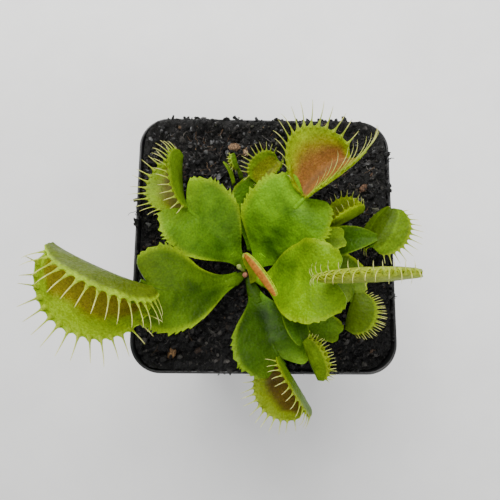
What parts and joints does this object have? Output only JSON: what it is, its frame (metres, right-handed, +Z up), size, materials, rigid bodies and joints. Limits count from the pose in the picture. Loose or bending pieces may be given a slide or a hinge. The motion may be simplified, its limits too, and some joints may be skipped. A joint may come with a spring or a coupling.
{
  "type": "potted_venus_flytrap",
  "caption": "Venus flytrap with toothed snap traps on broad winged stalks, growing in peat in a square black plastic pot with rounded corners",
  "frame": {"origin": "centre of the pot's flat underside", "axes": "Z up along the pot's upright axis; -Y towards the viewer, at the bottom edge of the top-down picture; +X to the right, where the long edge-on trap points"},
  "size_m": [0.1032, 0.0959, 0.1174],
  "materials": {
    "pot": "smooth black plastic with a soft shine",
    "soil": "rough, damp, fibrous peat",
    "leaf": "smooth leaf skin, semi-gloss, red-brown inside the traps",
    "centre_leaf": "smooth young leaf skin, orange and green",
    "crown": "pale green buds",
    "bark": "rough brown bark"
  },
  "bodies": {
    "root": {"pot": "pot", "soil": "soil", "leaf_west": "leaf", "leaf_north_west": "leaf", "leaf_north": "leaf", "leaf_east": "leaf", "leaf_south": "leaf", "leaf_north_small": "leaf", "leaf_north_east": "leaf", "leaf_east_stub": "leaf", "leaf_east_north_east": "leaf", "leaf_east_lower": "leaf", "leaf_south_east": "leaf", "leaf_south_inner": "leaf", "leaf_centre": "centre_leaf", "shoot_left": "leaf", "shoot_right": "leaf", "crown": "crown", "bark_chip_1": "bark", "bark_chip_2": "bark", "bark_chip_3": "bark", "bark_chip_4": "bark", "bark_chip_5": "bark", "bark_chip_6": "bark"}
  },
  "joints": []
}
